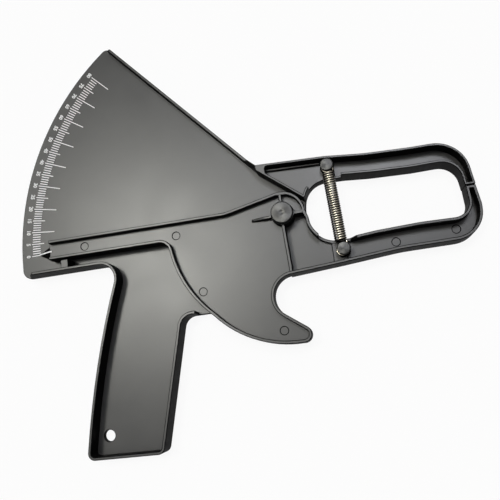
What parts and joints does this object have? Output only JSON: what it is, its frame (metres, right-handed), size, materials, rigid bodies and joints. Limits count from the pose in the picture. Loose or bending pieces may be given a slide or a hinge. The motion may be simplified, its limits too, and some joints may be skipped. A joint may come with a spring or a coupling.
{
  "type": "skinfold caliper",
  "caption": "Plastic skinfold caliper with a pistol grip, a sector scale in millimetres, a sprung lever with trigger and pointer, and two closed jaws.",
  "frame": {"origin": "the pivot's axis on the back face that the caliper lies on", "axes": "+X from the pivot to the jaws' contact, -X along the scale's zero, +Y towards the sector's peak, +Z out of the printed face"},
  "size_m": [0.2704, 0.2511, 0.016],
  "materials": {
    "black_plastic": "satin moulded, soft broad reflections",
    "black_pin": "turned, satin black",
    "dark_washer": "black oxide",
    "nylon": "natural nylon",
    "spring_steel": "drawn wire, bright with a warm tint",
    "white_ink": "printed white"
  },
  "bodies": {
    "frame": {"frame_moulding": "black_plastic", "scale_graduations": "white_ink", "pivot_pin": "black_pin", "pivot_thrust_washer": "nylon", "pivot_push_nut": "spring_steel", "upper_spring_post": "black_pin", "upper_post_collar": "dark_washer"},
    "lever": {"lever_moulding": "black_plastic", "pointer_line": "white_ink", "pivot_front_washer": "dark_washer", "lower_spring_post": "black_pin", "lower_post_collar": "dark_washer"},
    "spring_upper": {"spring_upper_loop": "spring_steel", "spring_upper_coils": "spring_steel"},
    "spring_lower": {"spring_lower_coils": "spring_steel", "spring_lower_loop": "spring_steel"}
  },
  "joints": [
    {"name": "lever_hinge", "type": "hinge", "parent": "frame", "child": "lever", "pos_m": [0, 0, 0], "axis": [0, 0, -1], "range_deg": [0, 48], "stiffness_Nm_per_rad": 0.1, "springref_deg": -68.75},
    {"name": "spring_swing", "type": "hinge", "parent": "frame", "child": "spring_upper", "pos_m": [0.0287, 0.024, 0], "axis": [0, 0, -1], "range_deg": [0, 24.3]},
    {"name": "spring_stretch", "type": "slide", "parent": "spring_upper", "child": "spring_lower", "axis": [0.0305, -0.9995, 0], "range_m": [0, 0.0205]}
  ],
  "couplings": [
    {"joint": "spring_swing", "follows": "lever_hinge", "ratio": 0.5055},
    {"joint": "spring_stretch", "follows": "lever_hinge", "m_per_rad": 0.024296}
  ]
}
